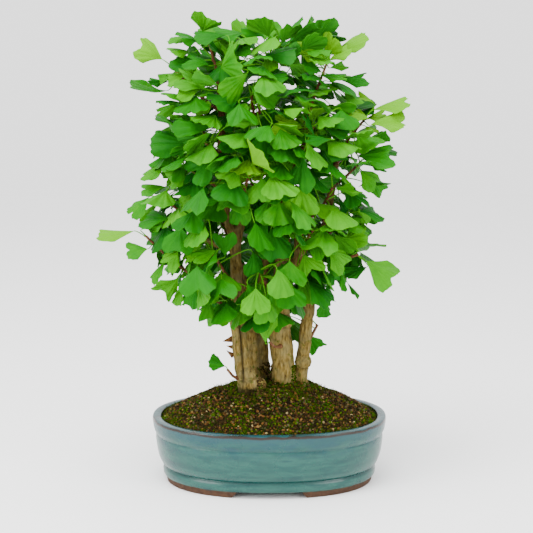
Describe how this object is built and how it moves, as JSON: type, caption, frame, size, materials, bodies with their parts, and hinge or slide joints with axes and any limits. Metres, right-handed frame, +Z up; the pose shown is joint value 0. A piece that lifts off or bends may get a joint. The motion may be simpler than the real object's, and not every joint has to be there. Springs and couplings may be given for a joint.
{
  "type": "ginkgo bonsai",
  "caption": "Clump-style ginkgo bonsai with slim upright trunks and a dense crown of fan-shaped leaves, growing from a soil mound in a glazed oval pot.",
  "frame": {"origin": "centre of the whole outline, crown included, on the plane under the pot's feet", "axes": "+Z up along the trunks, X along the pot's long side, -Y towards the front"},
  "size_m": [0.3166, 0.2296, 0.493],
  "materials": {
    "glaze": "mottled satin glaze, teal",
    "screen": "matte",
    "soil": "loose granules with moss",
    "bark": "rough fissured bark",
    "leaf": "soft, slightly translucent"
  },
  "bodies": {
    "root": {"pot": "glaze", "drain_screen_left": "screen", "drain_screen_right": "screen", "soil": "soil", "tree": "bark", "shoot_01": "leaf", "shoot_02": "leaf", "shoot_03": "leaf", "shoot_04": "leaf", "shoot_05": "leaf", "shoot_06": "leaf", "shoot_07": "leaf", "shoot_08": "leaf", "shoot_09": "leaf", "shoot_10": "leaf", "shoot_11": "leaf", "shoot_12": "leaf", "shoot_13": "leaf", "shoot_14": "leaf", "shoot_15": "leaf", "shoot_16": "leaf", "shoot_17": "leaf", "shoot_18": "leaf", "shoot_19": "leaf", "shoot_20": "leaf", "shoot_21": "leaf", "shoot_22": "leaf", "shoot_23": "leaf", "shoot_24": "leaf", "shoot_25": "leaf", "shoot_26": "leaf", "shoot_27": "leaf", "shoot_28": "leaf", "shoot_29": "leaf", "shoot_30": "leaf", "shoot_31": "leaf", "shoot_32": "leaf", "shoot_33": "leaf", "shoot_34": "leaf", "shoot_35": "leaf", "shoot_36": "leaf", "shoot_37": "leaf", "shoot_38": "leaf"}
  },
  "joints": []
}
